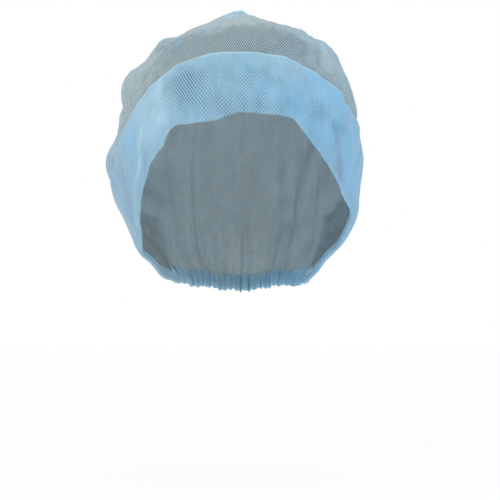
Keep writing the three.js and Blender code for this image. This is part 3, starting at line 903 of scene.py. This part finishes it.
arc = np.linspace(-(90 - edgeLatitude(-90)), 90 - edgeLatitude(90), crownSeam["steps"])
aboveCuff = 90 - abs(arc) - foldLatitude(np.sign(arc) * 90)
bare = np.clip(aboveCuff / crownSeam["cuffStep"], 0, 1)
quick, slow = crownSeam["ridgeWaves"]
uneven = crownSeam["ridgeUneven"] * np.sin(arc * quick + np.sin(arc * slow))
rise = crownSeam["underCuff"] + bare * (crownSeam["ridge"] - crownSeam["underCuff"] + uneven)
ridge = [(wide * crownSeam["half"], tall * rise) for wide, tall in crownSeam["outline"]]
base, low, top = crownSeam["baseHalf"], crownSeam["baseLow"], crownSeam["baseTop"]
outline = [(-base, low), (-base, top)] + ridge + [(base, top), (base, low)]
section = np.stack([np.stack([x + 0 * rise, y + 0 * rise], axis=-1) for x, y in outline], axis=1)
parts = [sweepPart(*seamFrame(arc), section)]
share = np.linspace(0, 1, tuft["steps"])
turn = 2 * np.pi * np.arange(tuft["corners"]) / tuft["corners"]
up = (1 - np.cos(turn)) / 2
width = np.sin(turn) * (1 - tuft["narrowing"] * up)
for flap in tuftFlaps:
    middle = np.linspace(flap["first"], flap["last"], tuft["steps"])
    tall = flap["tall"] * np.sin(np.pi * np.clip(share, 0.02, 0.98)) ** tuft["tallPower"]
    thick = flap["thick"] / 2 * np.sin(np.pi * np.clip(share, 0.04, 0.96)) ** tuft["thickPower"]
    lean = flap["lean"] + tuft["wave"] * np.sin(share * tuft["waves"] + flap["lean"] / mm)
    section = np.stack([thick[:, None] * width + lean[:, None] * up,
                        tuft["foot"] + tall[:, None] * up], axis=-1)
    frameOfFlap = seamFrame(np.degrees(middle / headRadius))
    points, faces, cloth, stretchAndPaintedLight = sweepPart(*frameOfFlap, section[:, ::-1])
    parts.append((points, faces, cloth + [0, tuft["clothAway"]], stretchAndPaintedLight))
seamRidge = makePiece("crown_seam_ridge", parts, ridgeCloth, smoothBelow=70)


def seamStitch(where, swing):
    origin, across, out = seamFrame(where)
    sunk = crownSeam["baseLow"] - crownSeam["stitchSunk"]
    return origin + across * (swing * crownSeam["stitchHalf"])[:, None] + out * sunk


parts = [zigzag(arc[0], arc[-1], crownSeam["stitchPitch"], seamStitch)]
seamThread = makePiece("crown_seam_stitches", parts, thread)
print("crown seam done")

# What each piece stands for and what it rides on.
pieces = [
    (frontPanel, "crown_mesh", ["crown_front_panel"], "cap"),
    (rearPanel, "crown_mesh", ["crown_rear_panel"], "both"),
    (seamRidge, "crown_mesh", ["crown_seam"], "cap"),
    (seamThread, "seam_thread", ["crown_seam"], "cap"),
    (cuffBand, "cuff_cloth", ["cuff_band"], "both"),
    (rimThread, "seam_thread", ["rim_seam"], "both"),
    (leftEnd, "seam_thread", ["left_cuff_end_seam"], "both"),
    (rightEnd, "seam_thread", ["right_cuff_end_seam"], "both"),
    (leftTack, "seam_thread", ["left_elastic_tack"], "both"),
    (rightTack, "seam_thread", ["right_elastic_tack"], "both"),
    (napeCasing, "cuff_cloth", ["nape_casing"], "nape"),
    (napeElastic, "elastic", ["nape_elastic"], "nape"),
    (napeThread, "seam_thread", ["nape_seam"], "nape"),
]
for piece, slotName, nodes, body in pieces:
    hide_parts(*nodes)
    if body == "both":
        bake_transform(piece)
    else:
        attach(piece, body)


print("pieces placed")

# Floor, light and camera.
studio = dict(surroundings=0.68, floorHeight=-248 * mm, floorSize=12, floorTone=0.95, floorGlow=0.82,
              whiteFrom=0.6, whiteBy=2.2)
plainWhite = colour(1, 1, 1)


class Backdrop(Finish):
    def __init__(self, tree):
        self.tree = tree
        self.tree.nodes.clear()


def seenAs(finish):  # 1 where the camera looks, straight on or by way of gloss or glass
    path = finish.add("ShaderNodeLightPath")
    seen = path.maths("MAXIMUM", path, path.output("Is Glossy Ray"))
    return path.maths("MAXIMUM", seen, path.output("Is Transmission Ray"))


world = bpy.data.worlds.new("softStudio")
bpy.context.scene.world = world
world.use_nodes = True
sky = Backdrop(world.node_tree)
soft = sky.add("ShaderNodeBackground", None, {"Color": plainWhite, "Strength": studio["surroundings"]})
white = sky.add("ShaderNodeBackground", None, {"Color": plainWhite, "Strength": 1.0})
sky.add("ShaderNodeOutputWorld", None, {"Surface": sky.joined(seenAs(sky), soft, white)})

# The floor turns white for the camera with distance, and keeps a shadow near the cap.
paper = Finish("floorPaper")
matt = paper.add("ShaderNodeBsdfDiffuse", None, {"Color": colour(*[studio["floorTone"]] * 3)})
glow = paper.add("ShaderNodeEmission", None, {"Color": plainWhite, "Strength": 1.0})
place = paper.add("ShaderNodeTexCoord", output="Object")
away = paper.add("ShaderNodeVectorMath", {"operation": "LENGTH"}, {0: place}, output="Value")
far = away.between(studio["whiteFrom"], studio["whiteBy"])
seen = seenAs(paper) * (studio["floorGlow"] + far * (1 - studio["floorGlow"]))
paper.surface(paper.joined(seen, matt, glow))
size, low = studio["floorSize"] / 2, studio["floorHeight"]
mesh = bpy.data.meshes.new("floor")
mesh.from_pydata([(-size, -size, low), (size, -size, low), (size, size, low), (-size, size, low)],
                 [], [(0, 1, 2, 3)])
mesh.materials.append(paper.material)
floor = bpy.data.objects.new("floor", mesh)
bpy.context.scene.collection.objects.link(floor)

lamps = [
    dict(name="keySoftbox", place=(-1.1, -1.4, 1.1), size=1.4, watts=16),
    dict(name="fillSoftbox", place=(1.2, -1.4, 0.5), size=1.4, watts=6.5),
    dict(name="topSoftbox", place=(0.1, 0.3, 1.8), size=1.6, watts=8),
]
target = Vector((0, 0, -30 * mm))
for lamp in lamps:
    data = bpy.data.lights.new(lamp["name"], "AREA")
    data.size, data.energy = lamp["size"], lamp["watts"]
    box = bpy.data.objects.new(lamp["name"], data)
    box.location = lamp["place"]
    box.rotation_euler = (target - box.location).to_track_quat("-Z", "Y").to_euler()
    bpy.context.scene.collection.objects.link(box)

camera = dict(place=(6.3 * mm, -1500 * mm, -90.9 * mm), lens=154.3)
data = bpy.data.cameras.new("camera")
data.lens, data.sensor_width = camera["lens"], 36
data.clip_start, data.clip_end = 0.1, 20
viewer = bpy.data.objects.new("camera", data)
viewer.location = camera["place"]
viewer.rotation_euler = (math.radians(90), 0, 0)
bpy.context.scene.collection.objects.link(viewer)
bpy.context.scene.camera = viewer
bpy.context.scene.view_settings.view_transform = "Standard"
bpy.context.scene.cycles.transparent_max_bounces = 32

bpy.context.view_layer.update()
print("scene done")
